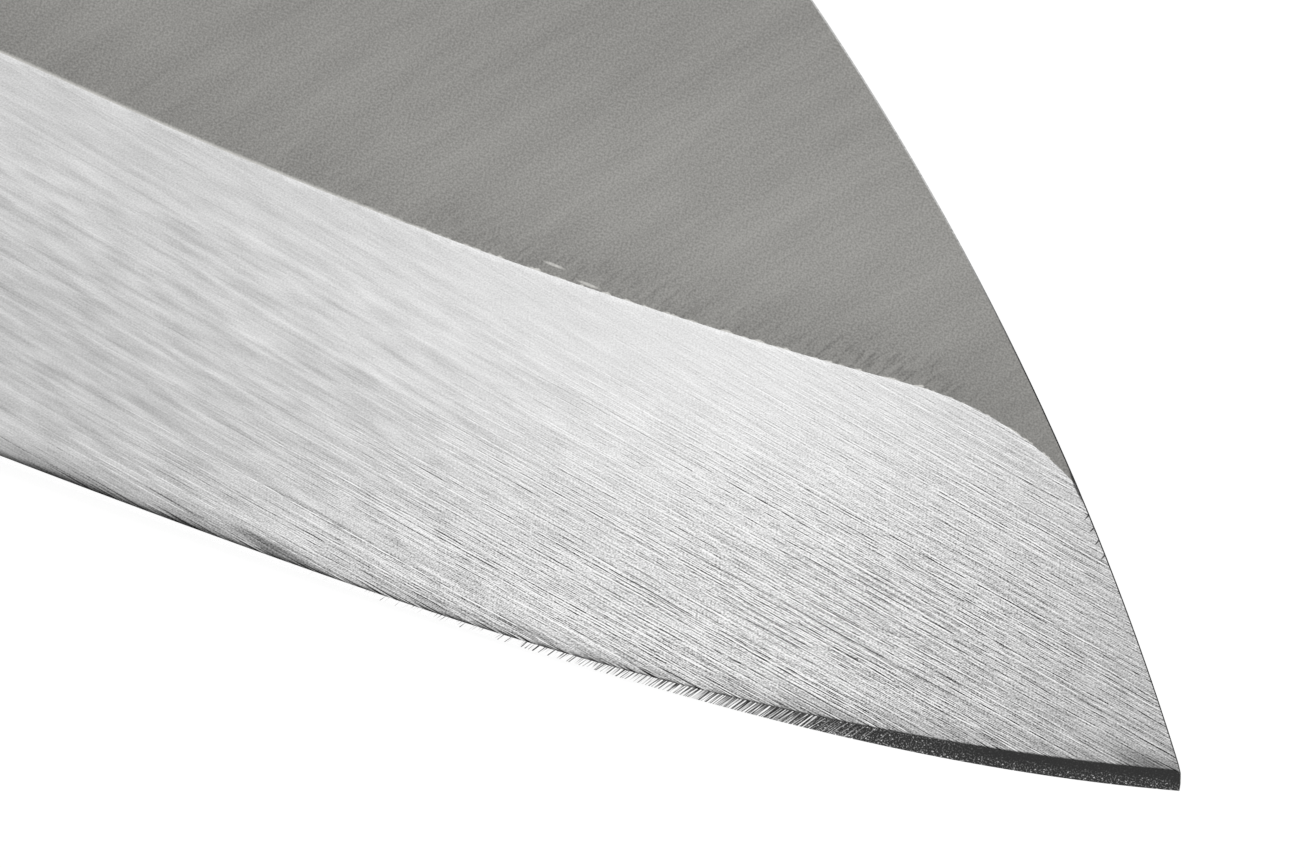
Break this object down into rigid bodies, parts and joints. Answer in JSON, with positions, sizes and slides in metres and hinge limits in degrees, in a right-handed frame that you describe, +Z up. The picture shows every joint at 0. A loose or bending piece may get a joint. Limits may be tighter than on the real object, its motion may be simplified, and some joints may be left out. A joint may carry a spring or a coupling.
{
  "type": "deba knife",
  "caption": "Single-bevel kitchen knife with a thick blade, a ridged flat side, a hollow back, a horn ferrule and an oval wooden handle.",
  "frame": {"origin": "middle of the bounding box, on the surface that the knife lies on", "axes": "+X runs towards the knife's point, +Y towards its spine, and +Z up from the surface that the knife's back faces, with the bevelled side on top"},
  "size_m": [0.31, 0.0548, 0.0276],
  "materials": {
    "blade_steel": "satin ground steel with long scratches on the wide bevel and a fine matte grain on the flat side",
    "buffalo_horn": "polished black horn with faint streaks",
    "magnolia_wood": "bare sanded magnolia with fine straight grain",
    "seal_resin": "dull dark resin"
  },
  "bodies": {
    "root": {"blade": "blade_steel", "ferrule": "buffalo_horn", "handle": "magnolia_wood", "tang_seal": "seal_resin"}
  },
  "joints": []
}
